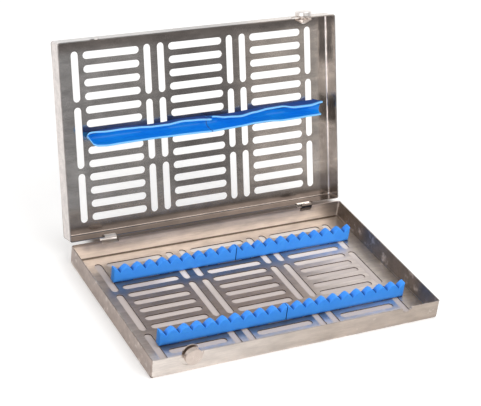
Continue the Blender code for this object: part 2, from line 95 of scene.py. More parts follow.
def softZone(tree, place, zone):
    # the zone's share inside a box (its middle and half sizes), falling to 0 over a soft edge
    apart = addNode(tree, "ShaderNodeVectorMath",
                    {"operation": "SUBTRACT", 1: Vector(zone["middle"]) * mm}, {0: place})
    away = addNode(tree, "ShaderNodeVectorMath", {"operation": "ABSOLUTE"},
                   {0: apart.outputs[0]})
    over = addNode(tree, "ShaderNodeVectorMath",
                   {"operation": "SUBTRACT", 1: Vector(zone["half"]) * mm}, {0: away.outputs[0]})
    shares = addNode(tree, "ShaderNodeVectorMath",
                     {"operation": "DIVIDE", 1: Vector(zone["soft"]) * mm}, {0: over.outputs[0]})
    parts = addNode(tree, "ShaderNodeSeparateXYZ", {}, {0: shares.outputs[0]})
    flat = addNode(tree, "ShaderNodeMath", {"operation": "MAXIMUM"},
                   {0: parts.outputs["X"], 1: parts.outputs["Y"]})
    most = addNode(tree, "ShaderNodeMath", {"operation": "MAXIMUM"},
                   {0: flat.outputs[0], 1: parts.outputs["Z"]})
    share = addNode(tree, "ShaderNodeMapRange",
                    {"interpolation_type": "SMOOTHSTEP", "From Min": 0.0, "From Max": 1.0,
                     "To Min": zone.get("share", 1.0), "To Max": 0.0}, {0: most.outputs[0]})
    return share.outputs[0]


def useMaterial(item, material):
    item.data.materials.clear()
    item.data.materials.append(material)


def linkPiece(name, mesh):
    item = bpy.data.objects.new(name, mesh)
    bpy.context.scene.collection.objects.link(item)
    return item


def meshFrom(work, name):
    mesh = bpy.data.meshes.new(name)
    work.to_mesh(mesh)
    work.free()
    return mesh


def smoothShade(mesh, degrees):
    for face in mesh.polygons:
        face.use_smooth = True
    mesh.set_sharp_from_angle(angle=math.radians(degrees))


# both trays share these; a tray's own frame has its back wall's outer face at Y = 0, its plate's
# outer face at height 0 and its knob at the left of the front wall
tray = {"width": 280.0, "depth": 180.0, "halfHeight": 18.0, "sheet": 0.9, "hingeOut": 1.5,
        "rowPitch": 12.35, "columnOffset": 83.5, "columnLength": 54.5, "gap": 0.3,
        "latchFromSide": 35.0}
seat = tray["sheet"] + tray["gap"]   # height of the mouldings' undersides
hinge = next(joint for joint in frame["joints"] if joint["name"] == "lid_hinge")


def trayPlace(word):
    # the lid's frame is the base's, turned over and swung open
    line = Matrix.Translation(hinge["pos_m"])
    back = Matrix.Translation((0, -tray["hingeOut"] * mm, -tray["halfHeight"] * mm))
    if word == "base":
        return line @ back
    openTurn = Matrix.Rotation(-math.radians(hinge["range_deg"][1]), 4, "X")
    return line @ openTurn @ Matrix.Rotation(math.pi, 4, "Y") @ back


def latchPlace(word):
    # the knob's axis runs along Y here
    fromMiddle = tray["latchFromSide"] - tray["width"] / 2
    return trayPlace(word) @ Matrix.Translation(
        (fromMiddle * mm, -tray["depth"] * mm, tray["halfHeight"] * mm))


# tones run along the tray's own X, from its left wall to its right: painted reflections and shade;
# each zone is a place of painted light or shade, or of a scuff or patch on the steel: its middle,
# half sizes, soft edge and colour, how much of the colour shows (share), and sharp where that
# edge is clean instead of ragged; the slots' walls are dark cut faces with painted shade, and
# folds sets the painted bands along the fold lines
punchedAndShaded = {"middle": (0, -90, 0.45), "half": (136, 86, 0.28), "soft": (1, 1, 0.12), "sharp": True}
folds = {"insetSheets": 1.5, "half": 0.45, "soft": 0.5, "share": 0.9}


def foldZones(colors):
    # painted bands of shade and highlight along the inside of the plate's folds: back, front, left,
    # right
    inset = tray["sheet"] * folds["insetSheets"]
    long, deep, half = tray["width"] / 2, tray["depth"] / 2, folds["half"]
    bands = ((0, -inset, (long, half, half)), (0, inset - 2 * deep, (long, half, half)),
             (inset - long, -deep, (half, deep, half)), (long - inset, -deep, (half, deep, half)))
    return tuple({"middle": (x, y, inset), "half": reach, "soft": (folds["soft"],) * 3,
                  "color": color, "share": folds["share"], "sharp": True}
                 for color, (x, y, reach) in zip(colors, bands))


baseSteel = {
    "tones": ((0.0, "#EEE5DE"), (0.45, "#CBC1B9"), (0.62, "#CEC2B9"), (0.85, "#F0E3DC"),
              (1.0, "#F2E6DF")),
    "roughness": 0.33, "smudgeRoughness": 0.10, "smudgeSize": 24.0,
    "mottleSize": 7.0, "mottleLength": 24.0, "mottleTint": 0.21,
    "grainSpacing": 0.6, "grainLength": 30.0, "grainDepth": 0.0007, "grainTint": 0.10,
    "waveSize": 60.0, "waveDepth": 0.06, "raggedness": 2.0, "raggedSize": 9.0,
    "zones": (
        # plate: painted reflections, browner left of its middle, brighter at its right and front
        # margins
        {"middle": (-45, -95, 0.9), "half": (58, 60, 0.6), "soft": (60, 25, 1), "color": "#B8A69A"},
        {"middle": (131, -90, 0.9), "half": (5, 84, 0.6), "soft": (6, 8, 1), "color": "#F6EADF"},
        {"middle": (0, -166, 0.9), "half": (138, 12, 0.6), "soft": (2, 7, 1), "color": "#EADFD7"},
        # painted shade on the outer faces of the front wall, darker to the right, and the left
        # wall, then on the right wall
        {"middle": (140, -180, 9), "half": (0, 0.5, 9), "soft": (230, 0.8, 5), "color": "#B7AA9F"},
        {"middle": (-140, -90, 9), "half": (0.4, 90, 9), "soft": (0.8, 5, 5), "color": "#B0A199"},
        {"middle": (140, -90, 10), "half": (1.0, 92, 9), "soft": (1.0, 5, 2), "color": "#958A82"},
        # painted shade on the plate at the back fold, painted light on the back wall's inner face,
        # and painted shade on its rim
        {"middle": (0, -10, 0), "half": (140, 14, 2), "soft": (5, 12, 2), "color": "#D4C8BE"},
        {"middle": (0, -1.0, 8), "half": (138, 0.4, 7), "soft": (2, 0.3, 3), "color": "#F4E8DD",
         "sharp": True},
        {"middle": (-60, -1, 18), "half": (130, 0.6, 0.8), "soft": (60, 1, 3), "color": "#B5A69C"},
        dict(punchedAndShaded, color="#54473F"),
    # painted shade along the base's folds
    ) + foldZones(("#54412F", "#54412F", "#54412F", "#968A80")),
}
lidSteel = {
    "tones": ((0.0, "#DEDBDA"), (0.01, "#EEE2D8"), (0.27, "#E0D3C9"), (0.38, "#A39C98"),
              (0.56, "#9C9693"), (0.68, "#BDB7B3"), (0.985, "#C6C2C0"), (1.0, "#E4DCD8")),
    "roughness": 0.15, "smudgeRoughness": 0.07, "smudgeSize": 26.0,
    "mottleSize": 6.0, "mottleLength": 15.0, "mottleTint": 0.20,
    "grainSpacing": 0.6, "grainLength": 30.0, "grainDepth": 0.0007, "grainTint": 0.08,
    "waveSize": 60.0, "waveDepth": 0.05, "raggedness": 1.6, "raggedSize": 8.0,
    "zones": (
        # painted shade on the plate towards the hinge, towards the knob, and right at the hinge
        # fold
        {"middle": (0, -10, 0), "half": (140, 9, 2), "soft": (12, 12, 2), "color": "#B4A9A2"},
        {"middle": (0, -180, 0), "half": (140, 6, 2), "soft": (12, 12, 2), "color": "#948B86"},
        {"middle": (0, -4, 0.9), "half": (139, 3, 0.5), "soft": (2, 6, 0.3), "color": "#8F837B"},
        # painted shade on the hinge wall's inner face, darker towards its right
        {"middle": (0, -1.0, 10), "half": (139, 0.4, 9.2), "soft": (2, 0.3, 0.5),
         "color": "#8F837B", "sharp": True},
        {"middle": (95, -1.0, 10), "half": (45, 0.4, 9.2), "soft": (90, 0.3, 0.5),
         "color": "#6C625B", "sharp": True},
        # two pale scuffs, then painted shade along the plate's left margin and a dark patch on the
        # left wall
        {"middle": (104, -128, 0.5), "half": (3, 2, 2), "soft": (9, 6, 2), "color": "#E4E1DE",
         "share": 0.6},
        {"middle": (118, -60, 0.5), "half": (2, 4, 2), "soft": (8, 9, 2), "color": "#E4E1DE",
         "share": 0.5},
        {"middle": (-134.8, -162, 0.9), "half": (2.0, 18, 0.6), "soft": (2.6, 20, 1),
         "color": "#77706D", "share": 0.85},
        {"middle": (-138.9, -87, 9), "half": (0.3, 8, 6), "soft": (0.5, 9, 4), "color": "#463F3C",
         "share": 0.9, "sharp": True},
        # painted shade on the hook's tip, and a painted blue reflection of the strips where they
        # meet
        {"middle": (-101, 0, 21), "half": (9, 5, 5.5), "soft": (1, 1, 1), "color": "#5C524C",
         "sharp": True},
        {"middle": (-6.6, -90, 0.9), "half": (0.4, 5, 0.6), "soft": (0.4, 1, 0.3),
         "color": "#2A4C7E", "sharp": True},
        dict(punchedAndShaded, color="#7A706A"),
    # painted highlights along the lid's folds
    ) + foldZones(("#B5A79D", "#F0E4DA", "#F6EEEB", "#F0E4DA")),
}
# a noise keeps near its middle: these stretches of its values are spread over a whole pattern
noiseSpans = {"grain": (0.35, 0.65), "smudge": (0.35, 0.70), "rub": (0.3, 0.7)}


def steelSheetMaterial(name, facts, place):
    # 304 stainless sheet, cold rolled, slotted, folded and electropolished: a soft mirror with a
    # faint rolled grain, wiped smudges that cloud it, and the slight waviness of thin sheet
    material, tree, own = startMaterial(name, place)
    clouds = addNode(tree, "ShaderNodeTexNoise",
                     {"Scale": 1 / (facts["smudgeSize"] * mm), "Detail": 4.0, "Roughness": 0.5},
                     {"Vector": own})
    broad = addNode(tree, "ShaderNodeTexNoise",
                    {"Scale": 1 / (facts["waveSize"] * mm), "Detail": 1.0}, {"Vector": own})
    across = 1 / (facts["grainSpacing"] * mm)
    stretch = addNode(tree, "ShaderNodeMapping",
                      {"Scale": (1 / (facts["grainLength"] * mm), across, across)}, {"Vector": own})
    grain = addNode(tree, "ShaderNodeTexNoise", {"Scale": 1.0, "Detail": 2.0},
                    {"Vector": stretch.outputs["Vector"]})
    blot = 1 / (facts["mottleSize"] * mm)
    patches = addNode(tree, "ShaderNodeMapping",
                      {"Scale": (1 / (facts["mottleLength"] * mm), blot, blot)}, {"Vector": own})
    mottle = addNode(tree, "ShaderNodeTexNoise", {"Scale": 1.0, "Detail": 4.0, "Roughness": 0.6},
                     {"Vector": patches.outputs["Vector"]})

    # painted reflections and shade along the tray, the zones with their ragged edges, then grain
    # and mottling over all
    parts = addNode(tree, "ShaderNodeSeparateXYZ", {}, {0: own})
    half = tray["width"] / 2 * mm
    along = addNode(tree, "ShaderNodeMapRange", {"From Min": -half, "From Max": half},
                    {0: parts.outputs["X"]})
    tone = addNode(tree, "ShaderNodeValToRGB", {"stops": facts["tones"]}, {0: along.outputs[0]})
    rub = addNode(tree, "ShaderNodeTexNoise",
                  {"Scale": 1 / (facts["raggedSize"] * mm), "Detail": 3.0}, {"Vector": own})
    centred = addNode(tree, "ShaderNodeVectorMath", {"operation": "SUBTRACT", 1: (0.5, 0.5, 0.5)},
                      {0: rub.outputs["Color"]})
    reach = 2 * facts["raggedness"] * mm
    ragged = addNode(tree, "ShaderNodeVectorMath",
                     {"operation": "MULTIPLY_ADD", 1: (reach, reach, 0)},
                     {0: centred.outputs[0], 2: own})
    color = tone.outputs[0]
    for zone in facts["zones"]:
        share = softZone(tree, own if zone.get("sharp") else ragged.outputs[0], zone)
        mixed = addNode(tree, "ShaderNodeMix",
                        {"data_type": "RGBA", 7: linearColor(zone["color"])},
                        {0: share, 6: color})
        color = mixed.outputs[2]
    for pattern, tint in ((grain, facts["grainTint"]), (mottle, facts["mottleTint"])):
        low, high = noiseSpans["grain"]
        darker = addNode(tree, "ShaderNodeMapRange",
                         {"From Min": low, "From Max": high, "To Min": 1 - tint, "To Max": 1.0},
                         {0: pattern.outputs["Fac"]})
        color = addNode(tree, "ShaderNodeMix",
                        {"data_type": "RGBA", "blend_type": "MULTIPLY", 0: 1.0},
                        {6: color, 7: darker.outputs[0]}).outputs[2]

    low, high = noiseSpans["smudge"]
    cloudiness = addNode(tree, "ShaderNodeMapRange",
                         {"From Min": low, "From Max": high, "To Min": facts["roughness"],
                          "To Max": facts["roughness"] + facts["smudgeRoughness"]},
                         {0: clouds.outputs["Fac"]})
    wave = addNode(tree, "ShaderNodeBump", {"Strength": 1.0, "Distance": facts["waveDepth"] * mm},
                   {"Height": broad.outputs["Fac"]})
    lines = addNode(tree, "ShaderNodeBump", {"Strength": 1.0, "Distance": facts["grainDepth"] * mm},
                    {"Height": grain.outputs["Fac"], "Normal": wave.outputs["Normal"]})
    shader = addNode(tree, "ShaderNodeBsdfPrincipled", {"Metallic": 1.0},
                     {"Base Color": color, "Roughness": cloudiness.outputs[0],
                      "Normal": lines.outputs["Normal"]})
    addNode(tree, "ShaderNodeOutputMaterial", {}, {"Surface": shader.outputs[0]})
    return material


# the rings of a finish cut are finer than this; drawn coarse enough to show
turnedSteel = {"color": "#D5C8BF", "rubColor": "#BCAEA5", "roughness": 0.26, "rubRoughness": 0.10,
               "ringSpacing": 0.7, "ringDepth": 0.004, "rubSize": 5.0}
# the lid's knob is the same turned steel painted lighter: painted light
lidKnobSteelPaintedLight = dict(turnedSteel, color="#F2EEEB", rubColor="#E2DBD6")
latchSteel = dict(turnedSteel, roughness=0.30)
ringRadians = 20   # how far a wave texture of scale 1 runs in a metre


def turnedSteelMaterial(name, facts, place):
    # 303 stainless bar, turned on a lathe and lightly polished: fine rings round the axis, dulled
    # by fingers where it is turned
    material, tree, own = startMaterial(name, place)
    rub = addNode(tree, "ShaderNodeTexNoise",
                  {"Scale": 1 / (facts["rubSize"] * mm), "Detail": 4.0}, {"Vector": own})
    rings = addNode(tree, "ShaderNodeTexWave",
                    {"wave_type": "RINGS", "rings_direction": "Y",
                     "Scale": 2 * math.pi / (ringRadians * facts["ringSpacing"] * mm)},
                    {"Vector": own})
    tint = addNode(tree, "ShaderNodeMix",
                   {"data_type": "RGBA", 6: linearColor(facts["color"]),
                    7: linearColor(facts["rubColor"])}, {0: rub.outputs["Fac"]})
    low, high = noiseSpans["rub"]
    roughness = addNode(tree, "ShaderNodeMapRange",
                        {"From Min": low, "From Max": high, "To Min": facts["roughness"],
                         "To Max": facts["roughness"] + facts["rubRoughness"]},
                        {0: rub.outputs["Fac"]})
    bump = addNode(tree, "ShaderNodeBump", {"Strength": 1.0, "Distance": facts["ringDepth"] * mm},
                   {"Height": rings.outputs["Fac"]})
    shader = addNode(tree, "ShaderNodeBsdfPrincipled", {"Metallic": 1.0},
                     {"Base Color": tint.outputs[2], "Roughness": roughness.outputs[0],
                      "Normal": bump.outputs["Normal"]})
    addNode(tree, "ShaderNodeOutputMaterial", {}, {"Surface": shader.outputs[0]})
    return material


# what both blues have in common; the crevice at the plate gets painted shade, darker as less of
# the room around it is open to it
silicone = {"ior": 1.41, "depthShare": 0.15, "depth": 1.5, "depthTints": (0.3, 0.6, 1.0),
            "sheenSpread": (-0.06, 0.08), "skinStrength": 0.6, "openShares": (0.45, 0.92),
            "creviceShare": 0.90}
railRubber = {"color": "#48A2FF", "deepColor": "#3693FA", "shadeColor": "#0A3F86",
              "roughness": 0.50, "grainSize": 0.5, "grainDepth": 0.02, "cloudSize": 7.0,
              "shadeReach": 4.0, "dusty": (), "zones": ()}
# zones: the strips' upper side, in painted shade and dull with dust, the thin lips painted lighter
# for the light they let in, and the cut ends where the strips meet
dustAndShadeSide = {"middle": (0, -100, 6.5), "half": (140, 5.5, 7), "soft": (1, 1, 2)}
stripRubber = {"color": "#1FA4F6", "deepColor": "#0C8CEA", "shadeColor": "#0B4FA8",
               "roughness": 0.36, "grainSize": 0.5, "grainDepth": 0.02, "cloudSize": 9.0,
               "shadeReach": 1.6, "dusty": (dustAndShadeSide,), "dustyRoughness": 0.95,
               "zones": (dict(dustAndShadeSide, color="#063C8C"),
                         {"middle": (0, -90, 17.4), "half": (140, 12, 0.5), "soft": (1, 1, 1.4),
                          "color": "#86CAFF", "share": 0.85},
                         {"middle": (-6.3, -90, 12), "half": (0.7, 12, 8), "soft": (0.8, 1, 1),
                          "color": "#4E9EEA", "share": 0.5})}


def siliconeMaterial(name, facts, place):
    # medical silicone rubber, compression moulded and coloured right through: a soft even blue
    # with a waxy depth, painted paler where it is thin and lets light in, painted shade at the
    # plate, and the matt skin of the mould
    material, tree, own = startMaterial(name, place)
    skin = addNode(tree, "ShaderNodeTexNoise",
                   {"Scale": 1 / (facts["grainSize"] * mm), "Detail": 2.0}, {"Vector": own})
    cloud = addNode(tree, "ShaderNodeTexNoise",
                    {"Scale": 1 / (facts["cloudSize"] * mm), "Detail": 3.0}, {"Vector": own})
    tint = addNode(tree, "ShaderNodeMix",
                   {"data_type": "RGBA", 6: linearColor(facts["deepColor"]),
                    7: linearColor(facts["color"])}, {0: cloud.outputs["Fac"]})
    color = tint.outputs[2]
    for zone in facts["zones"]:
        color = addNode(tree, "ShaderNodeMix",
                        {"data_type": "RGBA", 7: linearColor(zone["color"])},
                        {0: softZone(tree, own, zone), 6: color}).outputs[2]
    # painted shade in the crevice at the plate
    crevice = addNode(tree, "ShaderNodeAmbientOcclusion", {"Distance": facts["shadeReach"] * mm})
    low, high = silicone["openShares"]
    shade = addNode(tree, "ShaderNodeMapRange",
                    {"From Min": low, "From Max": high, "To Min": silicone["creviceShare"],
                     "To Max": 0.0}, {0: crevice.outputs["AO"]})
    color = addNode(tree, "ShaderNodeMix",
                    {"data_type": "RGBA", 7: linearColor(facts["shadeColor"])},
                    {0: shade.outputs[0], 6: color}).outputs[2]
    low, high = noiseSpans["rub"]
    sheenier, duller = silicone["sheenSpread"]
    satin = addNode(tree, "ShaderNodeMapRange",
                    {"From Min": low, "From Max": high, "To Min": facts["roughness"] + sheenier,
                     "To Max": facts["roughness"] + duller}, {0: cloud.outputs["Fac"]})
    roughness = satin.outputs[0]
    for zone in facts["dusty"]:
        roughness = addNode(tree, "ShaderNodeMix",
                            {"data_type": "FLOAT", 3: facts["dustyRoughness"]},
                            {0: softZone(tree, own, zone), 2: roughness}).outputs[0]
    bump = addNode(tree, "ShaderNodeBump",
                   {"Strength": silicone["skinStrength"], "Distance": facts["grainDepth"] * mm},
                   {"Height": skin.outputs["Fac"]})
    shader = addNode(tree, "ShaderNodeBsdfPrincipled",
                     {"IOR": silicone["ior"], "Subsurface Weight": silicone["depthShare"],
                      "Subsurface Scale": silicone["depth"] * mm,
                      "Subsurface Radius": silicone["depthTints"]},
                     {"Base Color": color, "Roughness": roughness,
                      "Normal": bump.outputs["Normal"]})
    addNode(tree, "ShaderNodeOutputMaterial", {}, {"Surface": shader.outputs[0]})
    return material


def finishHalf(word, sheetSteel, knobSteel):
    # the tray's sheet, its knob, and the four latch pieces behind the knob
    sheet = steelSheetMaterial("stainless_sheet_" + word, sheetSteel, trayPlace(word))
    knob = turnedSteelMaterial("stainless_turned_knob_" + word, knobSteel, latchPlace(word))
    latch = turnedSteelMaterial("stainless_turned_latch_" + word, latchSteel, latchPlace(word))
    for name, item in frame["nodes"].items():
        if name == word + "_tray":
            useMaterial(item, sheet)
        elif name == word + "_latch_knob":
            useMaterial(item, knob)
        elif name.startswith(word + "_latch_"):
            useMaterial(item, latch)


finishHalf("base", baseSteel, turnedSteel)
finishHalf("lid", lidSteel, lidKnobSteelPaintedLight)
railMaterial = siliconeMaterial("silicone_moulded_rail", railRubber, trayPlace("base"))
stripMaterial = siliconeMaterial("silicone_moulded_strip", stripRubber, trayPlace("lid"))
print("materials made, steel pieces finished")


def joinedMesh(mesh, others):
    # exact union of closed meshes, baked
    holder = linkPiece("joining", mesh)
    helpers = []
    for other in others:
        helper = linkPiece("helper", other)
        helpers.append(helper)
        step = holder.modifiers.new("join", "BOOLEAN")
        step.operation = "UNION"
        step.solver = "EXACT"
        step.object = helper
    bpy.context.view_layer.update()
    view = bpy.context.evaluated_depsgraph_get()
    result = bpy.data.meshes.new_from_object(holder.evaluated_get(view))
    for item in helpers + [holder]:
        bpy.data.objects.remove(item, do_unlink=True)
    return result


def stadiumPoints(x, y, length, width, steps):
    # a slot's outline, its round ends at left and right
    radius = width / 2
    reach = length / 2 - radius
    points = []
    for end in (1, -1):
        for i in range(steps + 1):
            angle = math.pi * (i / steps - 0.5)
            points.append((x + end * (reach + radius * math.cos(angle)),
                           y + end * radius * math.sin(angle)))
    return points


# an edge belongs to a rim where it lies level and its faces turn by more than these degrees
rims = {"levelWithin": 0.001, "leastTurn": 60}


def outlineSolid(points, low, high, edge, edgeSteps):
    # a flat outline (millimetres) stood up between two heights, its two rims rounded off
    work = bmesh.new()
    face = work.faces.new([work.verts.new((x * mm, y * mm, low * mm)) for x, y in points])
    raised = bmesh.ops.extrude_face_region(work, geom=[face])["geom"]
    top = [part for part in raised if isinstance(part, bmesh.types.BMVert)]
    bmesh.ops.translate(work, vec=(0, 0, (high - low) * mm), verts=top)
    bmesh.ops.recalc_face_normals(work, faces=work.faces)
    lines = [line for line in work.edges if len(line.link_faces) == 2
             and abs(line.verts[0].co.z - line.verts[1].co.z) < rims["levelWithin"] * mm
             and line.calc_face_angle(0) > math.radians(rims["leastTurn"])]
    bmesh.ops.bevel(work, geom=lines, offset=edge * mm, segments=edgeSteps, profile=0.5,
                    affect="EDGES", clamp_overlap=True)
    return meshFrom(work, "solid")


# studs that press into the row slots; lift is what their ends stay short of the plate's outer
# face, sink is how far their roots reach into the moulding
plug = {"length": 12.0, "endSteps": 10, "edge": 0.25, "edgeSteps": 2, "sink": 1.0, "lift": 0.1}


def startOf(facts, side):
    # where the left or the right one of two mouldings starts, end to end in a row
    if side == "left":
        return facts["shift"] - facts["split"] / 2 - facts["length"]
    return facts["shift"] + facts["split"] / 2


def plugPlaces(start, length, shares):
    # middles of the studs: each keeps its place along the moulding as far as its slot allows
    play = (tray["columnLength"] - plug["length"]) / 2 - tray["gap"]
    columns = (-tray["columnOffset"], 0, tray["columnOffset"])
    places = []
    for share in shares:
        wanted = start + length * share
        column = min(columns, key=lambda middle: abs(wanted - middle))
        places.append(column + max(-play, min(play, wanted - column)))
    return places


def plugMeshes(places, y, width):
    return [outlineSolid(stadiumPoints(x, y, plug["length"], width, plug["endSteps"]),
                         plug["lift"], seat + plug["sink"], plug["edge"], plug["edgeSteps"])
            for x in places]


# shift is how far right of the middle the two mouldings of a row meet, split their gap there
rails = {
    "length": 121.2, "thickness": 6.8, "top": 15.6, "teeth": 10, "toothDepth": 5.0,
    "pointsPerTooth": 20, "roundShare": 0.70, "edge": 0.55, "edgeSteps": 3,
    "rowsFromMiddle": 4, "shift": 5.5, "split": 0.6, "plugWidth": 6.2,
    "plugShares": {"left": (0.12, 0.417, 0.818), "right": (0.10, 0.493, 0.79)},
    "warp": 0.12, "warpLength": 60.0, "smoothAngle": 40,
}


def toothDrop(along, roundShare):
    # 0 on a crown, 1 in a valley: broad round crowns, narrow valleys
    phase = along % 1
    scallop = 1 - abs(math.cos(math.pi * phase))
    zigzag = 1 - abs(2 * phase - 1)
    return roundShare * scallop + (1 - roundShare) * zigzag


def railPiece(end, side, facts):
    start, length = startOf(facts, side), facts["length"]
    count = facts["teeth"] * facts["pointsPerTooth"]
    outline = [(start, seat), (start + length, seat)]
    for i in range(count, -1, -1):
        drop = facts["toothDepth"] * toothDrop(i / facts["pointsPerTooth"], facts["roundShare"])
        outline.append((start + length * i / count, facts["top"] - drop))
    half = facts["thickness"] / 2
    body = outlineSolid(outline, -half, half, facts["edge"], facts["edgeSteps"])
    way = {"front": -1, "back": 1}[end]
    middle = way * facts["rowsFromMiddle"] * tray["rowPitch"] - tray["depth"] / 2
    for point in body.vertices:
        # lay the profile along X and stand it up, with the slight bow of soft rubber
        x, height, across = point.co
        bow = noise.noise(Vector((x / (facts["warpLength"] * mm), middle, 0)))
        point.co = (x, (middle + bow * facts["warp"]) * mm - across, height)
    places = plugPlaces(start, length, facts["plugShares"][side])
    mesh = joinedMesh(body, plugMeshes(places, middle, facts["plugWidth"]))
    mesh.transform(trayPlace("base"))
    piece = linkPiece("rail_%s_%s" % (end, side), mesh)
    smoothShade(piece.data, facts["smoothAngle"])
    useMaterial(piece, railMaterial)
    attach(piece, "base")
    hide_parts("base_rail_%s_%s" % (end, side))


for end in ("front", "back"):
    for side in ("left", "right"):
        railPiece(end, side, rails)
print("toothed rails made")

strips = {
    "length": 118.4, "top": 16.8, "halfMouth": 6.5, "foot": 2.5, "wall": 1.6, "web": 2.6,
    "shift": 6.6, "split": 0.6, "plugWidth": 4.0,
    # powers that bend the outer sides, the trough across and the trough upwards
    "flare": 1.15, "troughRound": 1.7, "mouthRise": 1.25, "thinnest": 0.02,
    # over a lip: share of the way in, share of its crown
    "crown": 0.4, "lipRound": ((0.18, 0.75), (0.5, 1.0), (0.82, 0.75)),
    # the closed tip, which leans out and fills up
    "endReach": 13.0, "endFlare": 5.6, "footRound": 3.0, "tipRise": 1.5, "spineRise": 3.0,
    # the torn end
    "cutFill": 7.5, "cutReach": 10.0, "cutRise": 1.5, "slantAcross": 3.0,
    "ripple": 0.25, "rippleLength": 14.0, "rippleAcross": 30.0, "rippleRow": 3.7,
    # sections stand closer together towards the ends, and evenly by this share
    "stations": 120, "evenShare": 0.4, "rings": 9,
    "mergeWithin": 0.004, "meltWithin": 0.002, "smoothAngle": 50,
}
# lips and feet are shares of halfMouth and foot at even steps along a strip; endLips gives the
# closed end's two lip lines: distance from the tip, upper lip, lower lip
stripSides = {
    "left": {"upperShares": (1.16, 1.12, 1.15, 1.08, 0.93, 0.92, 1.12, 1.02, 0.84),
             "lowerShares": (1.02, 1.08, 1.02, 0.99, 0.97, 1.00, 1.00, 1.05, 1.12),
             "upperFootShares": (1.3, 2.2, 2.4, 2.2, 1.9, 2.0, 2.5, 2.5, 2.4),
             "lowerFootShares": (1, 1.4, 1.5, 1.5, 1.5, 1.5, 1.5, 1.5, 1.5), "cutSlant": 0.0,
             "endLips": ((0.0, 4.5, 4.5), (0.8, 6.7, 3.2), (2.1, 7.9, 0.4), (4.3, 8.2, -4.3),
                         (7.0, 8.0, -6.1)),
             "plugShares": (0.10, 0.393, 0.827)},
    "right": {"upperShares": (1.22, 0.88, 0.72, 1.02, 1.28, 1.34, 0.94, 0.92, 1.22),
              "lowerShares": (1.12, 1.03, 0.95, 0.79, 0.78, 0.95, 0.92, 0.84, 0.82),
              "upperFootShares": (2.2, 2.0, 2.1, 2.4, 2.8, 2.7, 2.8, 3.0, 3.0),
              "lowerFootShares": (1.5,) * 9, "cutSlant": 3.5, "endLips": (),
              "plugShares": (0.094, 0.495, 0.787)},
}


def alongShares(shares, along):
    # smooth curve through evenly spaced shares
    place = along * (len(shares) - 1)
    low = min(int(place), len(shares) - 2)
    part = place - low
    ease = part * part * (3 - 2 * part)
    return shares[low] * (1 - ease) + shares[low + 1] * ease


def lipLines(x, side, facts):
    # where the two lips stand at this distance from the strip's start
    along = x / facts["length"]
    upper = facts["halfMouth"] * alongShares(side["upperShares"], along)
    lower = -facts["halfMouth"] * alongShares(side["lowerShares"], along)
    if not side["endLips"] or x >= facts["endReach"]:
        return upper, lower
    points = side["endLips"] + ((facts["endReach"], upper, lower),)
    for first, second in zip(points, points[1:]):
        if x <= second[0]:
            part = (x - first[0]) / (second[0] - first[0])
            return tuple(a + (b - a) * part for a, b in zip(first[1:], second[1:]))


def stripSection(x, side, facts):
    # one cross section, from the foot's middle up the upper side, through the trough, and back
    along = x / facts["length"]
    top, steps = facts["top"], facts["rings"]
    upper, lower = lipLines(x, side, facts)
    spine, openness, footShare = 0.0, 1.0, 1.0
    if side["endLips"]:
        near = max(0.0, 1 - x / facts["endReach"])
        spine = (upper + lower) / 2 * min(1.0, facts["spineRise"] * near)
        openness = min(1.0, (upper - lower) / (2 * facts["halfMouth"]))
        footShare = math.sin(math.pi / 2 * min(1.0, x / facts["footRound"]))
    floor = seat + facts["web"]
    low = floor + (top - floor) * (1 - openness) ** facts["tipRise"]
    if side["cutSlant"]:
        # the torn end's floor rises
        torn = max(0.0, 1 - (facts["length"] - x) / facts["cutReach"])
        low += facts["cutFill"] * torn ** facts["cutRise"]
    section = []
    for way, lipLine, feet in ((1, upper, side["upperFootShares"]),
                               (-1, lower, side["lowerFootShares"])):
        lip = way * (lipLine - spine)
        foot = facts["foot"] * alongShares(feet, along) * footShare
        inner = max(lip - facts["wall"], facts["thinnest"] * openness)
        half = []
        for i in range(steps + 1):
            level = i / steps
            half.append((foot + (lip - foot) * level ** facts["flare"],
                         seat + (top - seat) * level, level))
        for share, rise in facts["lipRound"]:
            half.append((lip - (lip - inner) * share, top + facts["crown"] * rise, 1.0))
        for i in range(steps, -1, -1):
            # a rounded trough: steep under the lip, level at its bottom
            level = i / steps
            across = inner * (1 - (1 - level) ** facts["troughRound"]) ** (1 / facts["troughRound"])
            height = low + (top - low) * level ** facts["mouthRise"]
            half.append((across, height, (height - seat) / (top - seat)))
        points = [(way * across + spine * level, height, level) for across, height, level in half]
        section += points if way > 0 else points[::-1][1:]
    return section


